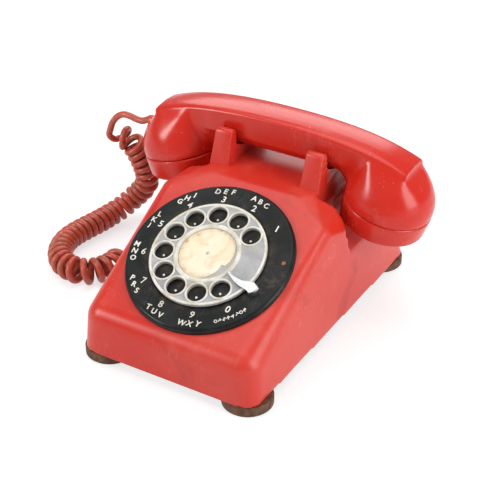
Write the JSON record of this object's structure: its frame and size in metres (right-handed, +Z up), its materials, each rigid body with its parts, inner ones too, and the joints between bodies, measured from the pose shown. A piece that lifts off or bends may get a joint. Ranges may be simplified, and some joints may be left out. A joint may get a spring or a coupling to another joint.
{
  "type": "rotary telephone",
  "caption": "Desk telephone with a sloping-deck housing, a rotary dial, a cradle and a lift-off handset on a coiled cord.",
  "frame": {"origin": "middle of the footprint, on the surface that the feet stand on", "axes": "+X to the user's right, +Y away from the user, +Z up"},
  "size_m": [0.2658, 0.2174, 0.1266],
  "materials": {
    "shell_red": "aged glossy moulding with fine scratches",
    "cord_red": "dull flexible vinyl",
    "dark_ring": "charcoal with a glossy rolled edge",
    "clear_plastic": "yellowed clear moulding",
    "card": "stained paper",
    "bright_metal": "satin plated",
    "steel": "plated sheet steel",
    "brass": "plain",
    "foot_pad": "worn fabric-faced pad",
    "phenolic": "moulded brown laminate",
    "winding": "taped copper winding",
    "dark_plastic": "moulded",
    "ivory_plastic": "translucent moulding"
  },
  "bodies": {
    "base": {"housing": "shell_red", "base_plate": "steel", "feet": "foot_pad", "housing_screws": "steel", "handset_cord_gland": "cord_red", "line_cord_inlet": "cord_red", "hook_bracket": "steel", "hook_pin": "bright_metal", "hook_spring": "steel", "switch_springs": "brass", "switch_insulators": "phenolic", "number_ring": "dark_ring", "dial_plate": "steel", "dial_back_plate": "steel", "finger_stop": "bright_metal", "return_spring": "steel", "pulse_contacts": "brass", "dial_bracket": "steel", "dial_screws": "steel", "ringer_frame": "steel", "ringer_core": "steel", "ringer_coil": "winding", "large_gong": "brass", "small_gong": "brass", "gong_screws": "steel", "network_box": "phenolic", "terminal_screws": "brass", "cord_lead": "cord_red", "cord_coil": "cord_red", "cord_tail": "cord_red"},
    "handset": {"handset_handle": "shell_red", "receiver_cap": "shell_red", "transmitter_cap": "shell_red", "receiver_unit": "steel", "transmitter_unit": "brass", "transmitter_cup": "dark_plastic", "handset_cord_grommet": "cord_red"},
    "dial": {"finger_wheel": "clear_plastic", "number_card": "card", "card_window": "clear_plastic", "card_retainer": "clear_plastic", "dial_shaft": "steel", "main_gear": "brass"},
    "pulse": {"pulse_shaft": "brass"},
    "governor": {"governor": "brass"},
    "left_hook": {"left_plunger": "ivory_plastic"},
    "right_hook": {"right_plunger": "ivory_plastic"},
    "lever": {"hook_lever": "steel"},
    "clapper": {"clapper": "brass"},
    "volume": {"volume_wheel": "dark_plastic"}
  },
  "joints": [
    {"name": "handset_lift", "type": "slide", "parent": "base", "child": "handset", "axis": [0, 0, 1], "range_m": [0, 0.1]},
    {"name": "left_hook_rise", "type": "slide", "parent": "base", "child": "left_hook", "axis": [0, 0, 1], "range_m": [0, 0.005]},
    {"name": "right_hook_rise", "type": "slide", "parent": "base", "child": "right_hook", "axis": [0, 0, 1], "range_m": [0, 0.005]},
    {"name": "hook_lever_turn", "type": "hinge", "parent": "base", "child": "lever", "pos_m": [0, 0.064, 0.074], "axis": [-1, 0, 0], "range_deg": [0, 15]},
    {"name": "dial_turn", "type": "hinge", "parent": "base", "child": "dial", "pos_m": [0, -0.0515, 0.065], "axis": [0, -0.4289, 0.9033], "range_deg": [-322, 0], "stiffness_Nm_per_rad": 0.004, "springref_deg": 68.75},
    {"name": "pulse_turn", "type": "hinge", "parent": "base", "child": "pulse", "pos_m": [-0.03, -0.0515, 0.065], "axis": [0, -0.4289, 0.9033], "range_deg": [0, 1290]},
    {"name": "governor_turn", "type": "hinge", "parent": "base", "child": "governor", "pos_m": [-0.03, -0.06234, 0.05985], "axis": [0, -0.4289, 0.9033], "range_deg": [-3870, 0]},
    {"name": "clapper_swing", "type": "hinge", "parent": "base", "child": "clapper", "pos_m": [0, 0.031, 0.034], "axis": [0, 0, 1], "range_deg": [-3, 3]},
    {"name": "volume_turn", "type": "hinge", "parent": "base", "child": "volume", "pos_m": [0.04, -0.01, 0.005], "axis": [0, 0, 1], "range_deg": [-45, 45]}
  ],
  "couplings": [
    {"joint": "left_hook_rise", "follows": "handset_lift", "ratio": 0.05},
    {"joint": "right_hook_rise", "follows": "handset_lift", "ratio": 0.05},
    {"joint": "hook_lever_turn", "follows": "handset_lift", "rad_per_m": 2.5},
    {"joint": "pulse_turn", "follows": "dial_turn", "ratio": -4},
    {"joint": "governor_turn", "follows": "dial_turn", "ratio": 12}
  ]
}
